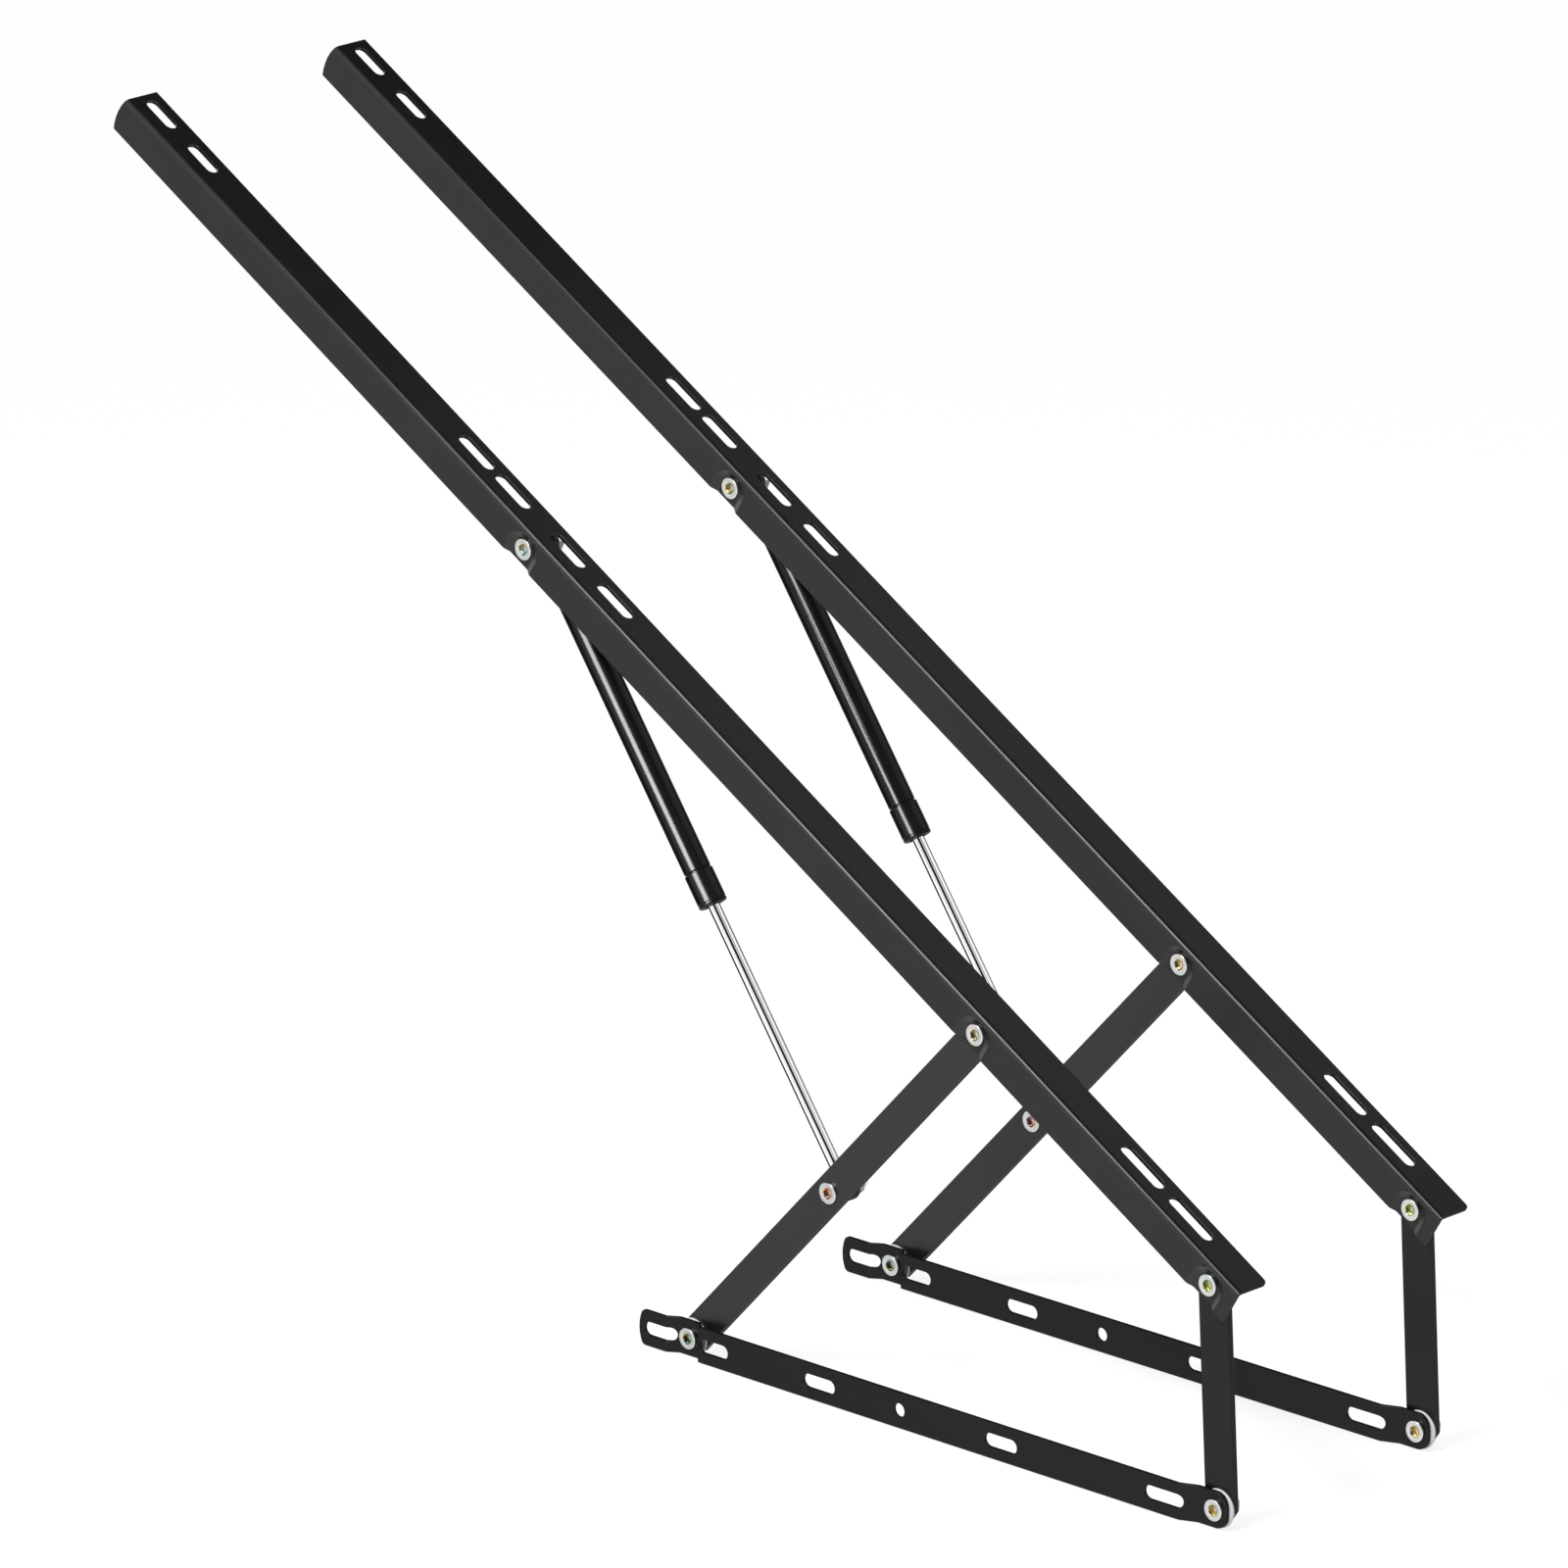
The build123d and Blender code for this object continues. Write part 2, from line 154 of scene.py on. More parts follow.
class Shader:
    """A material or world's node tree, whose node method makes each node."""

    def __init__(self, owner):
        owner.use_nodes = True
        self.tree = owner.node_tree
        self.tree.nodes.clear()

    def node(self, kind, settings=None, inputs=None, output=0):
        """Make a node, apply its settings, then give its sockets their values or links."""
        made = self.tree.nodes.new(kind)
        for name, value in (settings or {}).items():
            setattr(made, name, value)
        for name, value in (inputs or {}).items():
            if isinstance(value, Value):
                self.tree.links.new(value.socket, made.inputs[name])
            else:
                made.inputs[name].default_value = value
        return Value(self, made.outputs[output]) if made.outputs else made

    def noise(self, waves, detail=2.0):
        """Noise on the object's own coordinates, in waves a metre."""
        place = self.node("ShaderNodeTexCoord", output="Object")
        return self.node("ShaderNodeTexNoise", {}, {"Vector": place, "Scale": waves, "Detail": detail})

    def blend(self, factor, low, high):
        """Mix two colours."""
        return self.node("ShaderNodeMix", {"data_type": "RGBA"}, {0: factor, 6: low, 7: high}, output=2)

    def bump(self, height, strength, distance):
        """Turn a height into a normal."""
        return self.node("ShaderNodeBump", {}, {"Strength": strength, "Distance": distance, "Height": height})


# Floor
# A wide white floor that keeps a faint shadow and throws little light back at the object. It is clear to
# reflections, so that metal and gloss show the studio below the horizon too.
floor_height = cad_box[0][2]
floor_reach = 30.0
floor_white = (1.0, 1.0, 1.0, 1.0)
floor_albedo = (0.9, 0.9, 0.9, 1.0)
floor_bounce = (0.45, 0.45, 0.45, 1.0)
floor_light = 1.05
floor_glow = 0.75

floor_mesh = bpy.data.meshes.new("floor")
corners = [(x * floor_reach, y * floor_reach, floor_height) for x, y in ((-1, -1), (1, -1), (1, 1), (-1, 1))]
floor_mesh.from_pydata(corners, [], [(0, 1, 2, 3)])
floor = bpy.data.objects.new("floor", floor_mesh)
bpy.context.scene.collection.objects.link(floor)
floor_paint = bpy.data.materials.new("white_floor")
shader = Shader(floor_paint)
glow = shader.node("ShaderNodeEmission", {}, {"Color": floor_white, "Strength": floor_light})
clear = shader.node("ShaderNodeBsdfTransparent")
camera_ray = shader.node("ShaderNodeLightPath", output="Is Camera Ray")
floor_colour = shader.blend(camera_ray, floor_bounce, floor_albedo)
matt = shader.node("ShaderNodeBsdfDiffuse", {}, {"Color": floor_colour})
glossy_ray = shader.node("ShaderNodeLightPath", output="Is Glossy Ray")
shadowed = shader.node("ShaderNodeMixShader", {}, {0: camera_ray * floor_glow, 1: matt, 2: glow})
mirrored = shader.node("ShaderNodeMixShader", {}, {0: glossy_ray, 1: shadowed, 2: clear})
shader.node("ShaderNodeOutputMaterial", {}, {"Surface": mirrored})
floor_mesh.materials.append(floor_paint)


# Studio
# An even white surround. What metal and gloss mirror of it is drawn by direction: pale round the horizon,
# dark overhead and behind, with a dark room, a window and a pale front. A ledge and a corner lie only where
# the rails and the gas springs mirror them.
studio_light = 0.85
horizon_level = 1.32
back_level = 0.22
back_start = (0.2, 0.6)
skirting_share = 0.45
skirting_band = (-0.42, -0.1)
skirting_soft = 0.08
overhead_level = 0.03
overhead_start = (0.10, 0.32)
room_level = 0.015
room_place = (0.673, -0.372, 0.639)
room_radius = radians(40)
window_level = 1.15
window_place = (0.682, 0.339, 0.646)
window_radius = radians(42)
front_level = 1.1
front_place = (0.0, -0.988, 0.151)
front_radius = radians(20)
corner_level = 0.05
corner_place = (-0.876, -0.138, -0.460)
corner_radius = radians(36)
disc_soft = radians(4)
ledge_level = 1.8
ledge_half = 0.16
ledge_end = (-0.78, -0.64)
rail_slope = radians(31)
spring_half = 0.2
band_soft = 0.06

world = bpy.data.worlds.new("studio")
bpy.context.scene.world = world
world.cycles.sampling_method = "NONE"
shader = Shader(world)
direction = shader.node("ShaderNodeTexCoord", output="Generated")
depth, height = (shader.node("ShaderNodeSeparateXYZ", {}, {0: direction}, output=k) for k in (1, 2))


def nearness(place):
    """Cosine of the angle between the direction drawn and a place."""
    operands = {0: direction, 1: Vector(place).normalized()}
    return shader.node("ShaderNodeVectorMath", {"operation": "DOT_PRODUCT"}, operands, "Value")


def disc(place, radius):
    """1 within an angle of a place and 0 outside it, with a soft edge."""
    return nearness(place).ease(cos(radius + disc_soft), cos(radius - disc_soft))


upper_pin, lower_pin = (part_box(f"front_{name}")[0] for name in ("cylinder_pin", "rod_pin"))
spring_run = Vector((lower_pin.x - upper_pin.x, 0, lower_pin.z - upper_pin.z)).normalized()
spring_side = Vector((-spring_run.z, 0, spring_run.x))
spring_line = -back.dot(spring_run)
rail_run = Vector((cos(rail_slope), 0, -sin(rail_slope)))
rail_line = -back.dot(rail_run)

skirting = height.within(*skirting_band, skirting_soft)
behind = depth.ease(*back_start) * (1 - skirting_share * skirting)
level = horizon_level + (back_level - horizon_level) * behind
level = level.towards(overhead_level, height.ease(*overhead_start))
rail_mirrors = nearness(rail_run).within(rail_line - ledge_half, rail_line + ledge_half, band_soft)
level = level.towards(ledge_level, rail_mirrors * (1 - depth.ease(*ledge_end)))
spring_mirrors = nearness(spring_run).within(spring_line - spring_half, spring_line + spring_half, band_soft)
level = level.towards(corner_level, disc(corner_place, corner_radius) * spring_mirrors)
level = level.towards(room_level, disc(room_place, room_radius))
level = level.towards(window_level, disc(window_place, window_radius) * spring_mirrors)
level = level.towards(front_level, disc(front_place, front_radius))
camera_ray = shader.node("ShaderNodeLightPath", output="Is Camera Ray")
glossy_ray = shader.node("ShaderNodeLightPath", output="Is Glossy Ray")
strength = (glossy_ray * (level - studio_light) + studio_light).towards(1.0, camera_ray)
surround = shader.node("ShaderNodeBackground", {}, {"Color": floor_white, "Strength": strength})
shader.node("ShaderNodeOutputWorld", {}, {"Surface": surround})


# Lamps
# Two near panels light the rails' ridges and flanges from above. A third lamp stands where the tubes mirror
# it, so that a bright stripe runs down them and their caps, and it lights nothing else.
stripe_turn = radians(80)
stripe_distance = 4
tube_middle = Vector((-0.02, 0.1, 0.36))


def panel(name, place, aim, width, height, power, level_side=(1, 0, 0)):
    """Hang a light panel that faces a point, with its width along a given side."""
    lamp = bpy.data.lights.new(name, "AREA")
    lamp.shape = "RECTANGLE"
    lamp.size = width
    lamp.size_y = height
    lamp.energy = power
    away = (Vector(place) - Vector(aim)).normalized()
    rise = away.cross(Vector(level_side)).normalized()
    lamp_object = bpy.data.objects.new(name, lamp)
    lamp_object.location = place
    lamp_object.rotation_euler = Matrix((rise.cross(away), rise, away)).transposed().to_euler()
    bpy.context.scene.collection.objects.link(lamp_object)
    return lamp_object


panel("ridge_panel", (0.0, -0.95, 1.58), (0.0, 0.05, 0.30), width=0.7, height=0.26, power=27)
panel("flange_panel", (0.0, 1.20, 1.41), (0.06, 0.1, 0.26), width=1.0, height=1.0, power=1.2)
across_tube = cos(stripe_turn) * spring_side - sin(stripe_turn) * Vector((0, 1, 0))
tube_mirror = spring_line * spring_run + across_tube
stripe_place = tube_middle + stripe_distance * tube_mirror.normalized()
tube_lamp = panel("tube_lamp", stripe_place, tube_middle, 2.2, 1.0, power=580, level_side=spring_side)
tube_lamp.visible_diffuse = False
lamp_lit = bpy.data.collections.new("lamp_lit")
tube_lamp.light_linking.receiver_collection = lamp_lit


# Base plates
# Each is a strip of 2.5 mm steel, blanked with its slots, joggled in a press tool at both pivots and
# powder coated in satin black. The coat rounds cut edges a little, and the press rounds creases more, as
# far as the flat beside them has room.
units = ("front", "rear")
nodes = frame["nodes"]
coat_edge = 0.35 * mm
press_round = 1.2 * mm
press_clearance = 0.1 * mm
long_border = 20 * mm
far_facing = 0.9
weld_distance = 0.001 * mm
flat_angle = radians(0.5)
press_angle = radians(15)
crease_angle = radians(32)
cut_angle = radians(46)
fleck_grey = (0.05, 0.05, 0.05, 1)
fleck_share = 0.25


def powder_coat(name, pale, shine):
    """Satin black powder coat: a fine orange peel, a faint cloud in its sheen and paler flecks."""
    material = bpy.data.materials.new(name)
    shader = Shader(material)
    peel = shader.noise(waves=700)
    cloud = shader.noise(waves=28, detail=3.0)
    fleck = shader.noise(waves=2600, detail=1.0).ease(0.66, 0.74)
    tone = shader.blend(cloud, (0.6 * pale, 0.6 * pale, 0.62 * pale, 1), (pale, pale, 1.03 * pale, 1))
    inputs = {
        "Base Color": shader.blend(fleck * fleck_share, tone, fleck_grey),
        "Roughness": 0.31 + 0.07 * cloud,
        "Specular IOR Level": shine,
        "Normal": shader.bump(peel, strength=0.12, distance=0.2 * mm),
    }
    surface = shader.node("ShaderNodeBsdfPrincipled", {}, inputs)
    shader.node("ShaderNodeOutputMaterial", {}, {"Surface": surface})
    return material


def dress(mesh, name, node, *materials, rounding=0):
    """Show a mesh on a node's body in its finish, with weighted edges rounded and flats kept flat."""
    mesh.shade_smooth()
    mesh.set_sharp_from_angle(angle=crease_angle)
    for material in materials:
        mesh.materials.append(material)
    piece = bpy.data.objects.new(name, mesh)
    bpy.context.scene.collection.objects.link(piece)
    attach(piece, nodes[node]["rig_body"])
    if rounding:
        bevel = piece.modifiers.new("rounded_edges", "BEVEL")
        bevel.width = rounding
        bevel.segments = 2
        bevel.limit_method = "WEIGHT"
        bevel.use_clamp_overlap = False
    flats = piece.modifiers.new("flat_flats", "WEIGHTED_NORMAL")
    flats.keep_sharp = True
    return piece


def room_beside(crease):
    """How far a pressed crease may be rounded before it reaches a bend that borders the same flat.

    It is the least distance from the crease's middle to such a bend, less a clearance. On the far side of
    the sheet there is none, because the creases run into the bend there.
    """
    if max(face.normal.y for face in crease.link_faces) > far_facing:
        return 0
    middle = (crease.verts[0].co + crease.verts[1].co) / 2
    room = press_round
    for face in crease.link_faces:
        for border in face.edges:
            if border.calc_length() > long_border and border.calc_face_angle(0) < press_angle:
                first, last = (corner.co for corner in border.verts)
                gap = (middle - intersect_point_line(middle, first, last)[0]).length
                room = min(room, max(gap - press_clearance, 0))
    return room


def coated(node, edge, material):
    """Copy a node's solid, join its flat areas and round its cut edges and its pressed creases."""
    mesh = nodes[node].data.copy()
    mesh.name = node + "_coated"
    mesh.materials.clear()
    normals = mesh.attributes.get("custom_normal")
    if normals:
        mesh.attributes.remove(normals)
    work = bmesh.new()
    work.from_mesh(mesh)
    bmesh.ops.remove_doubles(work, verts=work.verts, dist=weld_distance)
    bmesh.ops.dissolve_limit(work, angle_limit=flat_angle, verts=work.verts, edges=work.edges)
    share = work.edges.layers.float.new("bevel_weight_edge")
    for side in work.edges:
        bend = side.calc_face_angle(0)
        if bend > cut_angle:
            side[share] = edge / press_round
        elif bend > press_angle:
            side[share] = room_beside(side) / press_round
    work.to_mesh(mesh)
    work.free()
    piece = dress(mesh, node + "_coated", node, material, rounding=press_round)
    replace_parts(piece, node)


# Painted shade: the base plates take a dull copy of the coat with little sheen, standing for the shade they
# lie in low by the floor.
base_coat_painted_shade = powder_coat("base_plate_coat_painted_shade", pale=0.006, shine=0.19)
for unit in units:
    coated(unit + "_base_plate", coat_edge, base_coat_painted_shade)


# Links
# Flat bar, 23 by 5 mm, rounded at the top and clipped at the foot. Both links wear the same black coat, but
# the long link lies more in the light than the short one. So its copy of the coat is painted a shade paler
# and glossier as painted light, and the short link's copy is left duller and darker as painted shade.
long_link_coat_painted_light = powder_coat("long_link_coat_painted_light", pale=0.010, shine=0.46)
short_link_coat_painted_shade = powder_coat("short_link_coat_painted_shade", pale=0.006, shine=0.25)
for unit in units:
    coated(unit + "_long_link", coat_edge, long_link_coat_painted_light)
    coated(unit + "_short_link", coat_edge, short_link_coat_painted_shade)


# Lift rails
# A long angle of 2.5 mm steel, rolled to a round ridge, slotted along its top and pressed in behind
# each bolt head, then coated like the rest.
rail_coat = powder_coat("rail_coat", pale=0.005, shine=0.40)
for unit in units:
    coated(unit + "_lift_rail", coat_edge, rail_coat)


# Bolts
# Zinc plated M8 bolts with a low round head and a hexagon socket. The plating's chromate film pools in
# the sockets in rainbow tints, another on each bolt. Two of them are parted in front of the piece that
# turns on them, and the far half belongs to that piece.
socket_across = 6.4
socket_depth = 3.0
socket_step = 0.01
socket_mouth = 4.1
socket_chamfer = 0.5
socket_rows = 7
drill_depth = 3.5
drill_radius = 2.6
drill_tip = 0.3
head_radius = 7.0
head_height = 2.0
head_round = 0.45
seat_round = 0.2
bolt_radius = 4.0
pitch = 1.25
rows_a_pitch = 8
thread_depth = 0.6
tip_chamfer = 0.8
parted_chamfer = 0.3
columns = 72
turn = np.arange(columns) * 2 * pi / columns
front_axis = (0, 1, 0)
front_side = (1, 0, 0)
film_rough = 0.18
film_drift = 0.5
film_tints = {
    "long_foot_bolt": (0.40, 0.42, 0.36),
    "short_foot_bolt": (0.50, 0.40, 0.26),
    "long_top_bolt": (0.66, 0.53, 0.40),
    "short_top_bolt": (0.42, 0.48, 0.36),
    "cylinder_pin": (0.46, 0.45, 0.42),
    "rod_pin": (0.66, 0.44, 0.42),
}
bolt_twists = {
    "long_foot_bolt": 0,
    "short_foot_bolt": 30,
    "long_top_bolt": 10,
    "short_top_bolt": 15,
    "cylinder_pin": 25,
    "rod_pin": 5,
}
parted_bolts = ("long_top_bolt", "rod_pin")


def rounded(corners, steps=5):
    """Round a closed profile of (along, radius, fillet) corners.

    Each corner becomes an arc that touches its two sides: its points swing from one touching point to the
    other about the arc's centre, by the angle that the profile turns through.
    """
    place = np.array(corners, float)
    point = place[:, :2]
    fillet = place[:, 2:]
    before = np.roll(point, 1, 0) - point
    after = np.roll(point, -1, 0) - point
    before /= np.linalg.norm(before, axis=1, keepdims=True)
    after /= np.linalg.norm(after, axis=1, keepdims=True)
    swing = np.arccos(np.clip(-(before * after).sum(1, keepdims=True), -1, 1))
    middle = (before + after) / np.linalg.norm(before + after, axis=1, keepdims=True)
    centre = point + middle * fillet / np.cos(swing / 2)
    start = point + before * fillet * np.tan(swing / 2) - centre
    stop = point + after * fillet * np.tan(swing / 2) - centre
    share = np.linspace(0, 1, steps)[None, :, None]
    swing = swing[:, None]
    arcs = np.sin((1 - share) * swing) * start[:, None] + np.sin(share * swing) * stop[:, None]
    path = (centre[:, None] + arcs / np.sin(swing)).reshape(-1, 2)
    return path[np.linalg.norm(path - np.roll(path, 1, 0), axis=1) > 1e-6]


def hexagon(across, twist):
    """Distance from the middle of a hexagon to its side, for each column round it."""
    return across / 2 / np.cos((turn - radians(twist)) % (pi / 3) - pi / 6)


def round_rows(radii):
    """Spread one radius a row over all the columns."""
    return np.repeat(np.array(radii, float)[:, None], columns, 1)


def wrap(name, origin, axis, side, along, radius, ring=False, paint=None):
    """Wrap a surface round an axis, in millimetres.

    Point (j, k) lies along[j] down the axis and radius[j, k] out from it, k columns round. A ring joins its
    last row to its first, and any other surface ends in two flat caps. paint gives each row its material.
    """
    axis = np.array(axis, float)
    side = np.array(side, float)
    out = np.cos(turn)[:, None] * side + np.sin(turn)[:, None] * np.cross(axis, side)
    radius = np.broadcast_to(radius, (len(along), columns))
    points = np.array(origin) + mm * (np.array(along)[:, None, None] * axis + radius[:, :, None] * out)
    index = np.arange(len(along) * columns).reshape(len(along), columns)
    near = index if ring else index[:-1]
    far = np.roll(index, -1, 0) if ring else index[1:]
    quads = np.stack((near, np.roll(near, -1, 1), np.roll(far, -1, 1), far), -1).reshape(-1, 4)
    caps = [] if ring else [index[0].tolist(), index[-1].tolist()]
    mesh = bpy.data.meshes.new(name)
    mesh.from_pydata(points.reshape(-1, 3).tolist(), [], quads.tolist() + caps)
    if paint is not None:
        rows = np.repeat(np.array(paint)[: len(near)], columns)
        mesh.polygons.foreach_set("material_index", np.append(rows, [paint[0], paint[-1]]).astype(np.int32))
    work = bmesh.new()
    work.from_mesh(mesh)
    bmesh.ops.recalc_face_normals(work, faces=work.faces)
    work.to_mesh(mesh)
    work.free()
    return mesh


def threaded(start, stop):
    """Rows and radii of a thread: the radius falls to the root and back once in each pitch and turn."""
    along = np.linspace(start, stop, int((stop - start) / pitch * rows_a_pitch) + 1)
    wave = np.abs(2 * ((along[:, None] / pitch - turn[None] / (2 * pi)) % 1) - 1)
    radius = bolt_radius - thread_depth * np.clip(1.25 * wave - 0.1, 0, 1)
    return along, np.minimum(radius, bolt_radius - tip_chamfer + (stop - along)[:, None])


def bolt_rows(length, twist, parted):
    """Rows and radii of a bolt, from the foot of its socket out over the head and down to its tip.

    The socket is a hexagon over a drilled foot, and its mouth is the larger of that hexagon and a cone. A
    parted bolt ends in a chamfer, and any other in a thread along its lower half.
    """
    socket = hexagon(socket_across, twist)
    hole_along = np.array([drill_depth, socket_depth, socket_depth - socket_step, socket_chamfer])
    hole = np.concatenate((round_rows([drill_tip, drill_radius]), [socket, socket]))
    lip_along = socket_chamfer * np.array([0.8, 0.6, 0.4, 0.2, 0.0])
    cone = socket_across / 2 + (socket_mouth - socket_across / 2) * (1 - lip_along / socket_chamfer)
    lip = np.maximum(cone[:, None], socket[None])
    lip[-1] = socket_mouth
    rim = rounded([
        (0, socket_mouth, 0),
        (0, head_radius, head_round),
        (head_height, head_radius, seat_round),
        (head_height, bolt_radius, 0),
    ])[1:]
    if parted:
        tail_along = np.array([length - parted_chamfer, length])
        tail = round_rows([bolt_radius, bolt_radius - parted_chamfer])
    else:
        tail_along, tail = threaded(length / 2, length)
    along = np.concatenate((hole_along, lip_along, rim[:, 0], tail_along))
    return along, np.concatenate((hole, lip, round_rows(rim[:, 1]), tail))


def middle_of(node):
    """Centre of a node across the bolts' axis, and the depths at which it starts and ends."""
    low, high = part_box(node)
    return (low.x + high.x) / 2, (low.z + high.z) / 2, low.y, high.y


def zinc(name, tone, rough, drift=0.1):
    """Bright zinc plate: a grain in its gloss, and a cloud that drifts between a warm and a cool tint."""
    material = bpy.data.materials.new(name)
    shader = Shader(material)
    cloud = shader.noise(waves=160, detail=3.0)
    grain = shader.noise(waves=3500)
    warm = (tone[0], tone[1] * (1 - 0.3 * drift), tone[2] * (1 - drift), 1)
    cool = (tone[0] * (1 - 0.6 * drift), tone[1] * (1 - 0.2 * drift), tone[2], 1)
    inputs = {
        "Base Color": shader.blend(cloud.ease(0.35, 0.65), cool, warm),
        "Metallic": 1.0,
        "Roughness": rough + 0.12 * cloud,
        "Normal": shader.bump(grain, strength=0.08, distance=0.05 * mm),
    }
    surface = shader.node("ShaderNodeBsdfPrincipled", {}, inputs)
    shader.node("ShaderNodeOutputMaterial", {}, {"Surface": surface})
    return material


bright_zinc = zinc("bright_zinc", (0.68, 0.68, 0.67), rough=0.24)
for plain, tint in film_tints.items():
    film = zinc("film_" + plain, tint, film_rough, film_drift)
    for unit in units:
        node = f"{unit}_{plain}"
        x, z, head, tip = middle_of(node)
        along, radius = bolt_rows((tip - head) / mm, bolt_twists[plain], plain in parted_bolts)
        paint = [1] * socket_rows + [0] * (len(along) - socket_rows)
        mesh = wrap(node + "_turned", (x, head, z), front_axis, front_side, along, radius, paint=paint)
        piece = dress(mesh, node + "_turned", node, bright_zinc, film)
        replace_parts(piece, node)


# Washers and spacers
# Under each foot a thick washer of white nylon keeps link and base plate apart, and a thin one lies
# under each rail. A turned steel spacer holds each eye of the gas spring off its link or rail.
bore = 4.05


def nylon():
    """Natural white nylon: a soft, slightly yellow white with a fine moulded grain."""
    material = bpy.data.materials.new("white_nylon")
    shader = Shader(material)
    cloud = shader.noise(waves=90)
    inputs = {
        "Base Color": shader.blend(cloud, (0.58, 0.58, 0.58, 1), (0.70, 0.70, 0.69, 1)),
        "Roughness": 0.42 + 0.1 * cloud,
        "Normal": shader.bump(shader.noise(waves=1800), strength=0.06, distance=0.1 * mm),
    }
    surface = shader.node("ShaderNodeBsdfPrincipled", {}, inputs)
    shader.node("ShaderNodeOutputMaterial", {}, {"Surface": surface})
    return material


def ring_profile(thickness, radius, fillet):
    """Section of a washer or spacer, with round outer edges."""
    return rounded([(0, bore, 0), (0, radius, fillet), (thickness, radius, fillet), (thickness, bore, 0)])


white_nylon = nylon()
rings = {
    "long_foot_washer": (0.45, white_nylon),
    "short_foot_washer": (0.45, white_nylon),
    "long_top_washer": (0.15, bright_zinc),
    "short_top_washer": (0.15, bright_zinc),
    "cylinder_spacer": (0.5, bright_zinc),
    "rod_spacer": (0.5, bright_zinc),
}
for plain, (fillet, material) in rings.items():
    for unit in units:
        node = f"{unit}_{plain}"
        low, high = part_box(node)
        x, z, face, far = middle_of(node)
        path = ring_profile((far - face) / mm, (high.x - low.x) / 2 / mm, fillet)
        name = node + "_turned"
        mesh = wrap(name, (x, face, z), front_axis, front_side, path[:, 0], path[:, 1:], ring=True)
        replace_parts(dress(mesh, name, node, material), node)


# Lock nuts
# Zinc plated M8 lock nuts, 13 mm across, chamfered at both ends of the hexagon, with a turned-in collar
# that grips a nylon ring. On the two parted pins the far half of the bolt comes through the nut.
nut_across = 13.0
nut_height = 6.2
nut_length = 8.0
nut_slope = radians(30)
nut_start_radius = 6.3
nut_bore_chamfer = 0.5
bore_chamfer_depth = 0.4
collar_radius = 5.7
collar_round = 0.9
collar_edge = 0.2
lip_radius = 4.75
nylon_face = 7.5
nylon_height = 0.35
nylon_round = 0.15
nut_twists = {
    "long_foot_nut": 12,
    "short_foot_nut": 25,
    "long_top_nut": 5,
    "short_top_nut": 0,
    "cylinder_nut": 50,
    "rod_nut": 20,
}
bolt_tails = {"long_top_nut": 1.0, "rod_nut": 5.0}


def nut_rows(twist):
    """Rows of a lock nut: a hexagon cut by a cone at each end, then the round collar and the bore."""
    lead = np.array([0.0, 0.12, 0.3, 0.5, 0.7])
    cone = nut_start_radius + lead / tan(nut_slope)
    collar = rounded([
        (nut_height, collar_radius, collar_edge),
        (nut_length, collar_radius, collar_round),
        (nut_length, lip_radius, collar_edge),
        (nylon_face, lip_radius, 0),
        (nylon_face, bore, 0),
        (bore_chamfer_depth, bore, 0),
    ])
    along = np.concatenate((lead, nut_height - lead[::-1], collar[:, 0], [0.0]))
    radius = round_rows(np.concatenate((cone, cone[::-1], collar[:, 1], [bore + nut_bore_chamfer])))
    hexed = 2 * len(lead)
    radius[:hexed] = np.minimum(radius[:hexed], hexagon(nut_across, twist))
    return along, radius


for plain, twist in nut_twists.items():
    for unit in units:
        node = f"{unit}_{plain}"
        x, z, start, tip = middle_of(node)
        parted = plain in bolt_tails
        face = tip - (bolt_tails[plain] + nut_length) * mm if parted else start
        name = node + "_turned"
        along, radius = nut_rows(twist)
        mesh = wrap(name, (x, face, z), front_axis, front_side, along, radius, ring=True)
        piece = dress(mesh, name, node, bright_zinc)
        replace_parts(piece, node)
        insert = rounded([
            (nylon_face, bore, 0.1),
            (nylon_face, lip_radius, 0),
            (nylon_face + nylon_height, lip_radius, nylon_round),
            (nylon_face + nylon_height, bore, nylon_round),
        ])
        name = node + "_insert"
        mesh = wrap(name, (x, face, z), front_axis, front_side, insert[:, 0], insert[:, 1:], ring=True)
        dress(mesh, name, node, white_nylon)
        if parted:
            length = (tip - start) / mm
            tail_along, tail = threaded(length / 2, length)
            along = np.append([0.0, parted_chamfer], tail_along)
            radius = np.concatenate((round_rows([bolt_radius - parted_chamfer, bolt_radius]), tail))
            name = node.replace("nut", "bolt_end")
            mesh = wrap(name, (x, start, z), front_axis, front_side, along, radius)
            dress(mesh, name, node, bright_zinc)


# Gas springs
# A tube in gloss black enamel, spun shut round its upper stud and rolled in at its lower end, where a
# moulded cap snaps over it. A hard chromed rod comes out of the cap, and a flat eye screws onto each end.
core_radius = 0.5
stud_radius = 3.0
stud_length = 7.0
stud_round = 0.4
tube_radius = 9.0
tube_end_round = 3.0
tube_roll_round = 0.8
groove_radius = 8.3
groove_gap = 0.7
groove_round = 0.2
mouth_radius = 4.15
mouth_depth = 1
cap_radius = 9.5
cap_fit = 0.05
cap_bore = 4.1
cap_edge = 0.5
cap_nose_round = 1.3
cap_funnel_radius = 6.6
cap_funnel_foot = 5.6
cap_funnel_depth = 1.2
cap_funnel_round = 0.3
cap_rim = 3.0
cap_rim_groove = 0.35
cap_rim_round = 0.1
rod_radius = 4.0
eye_edge = 0.5 * mm


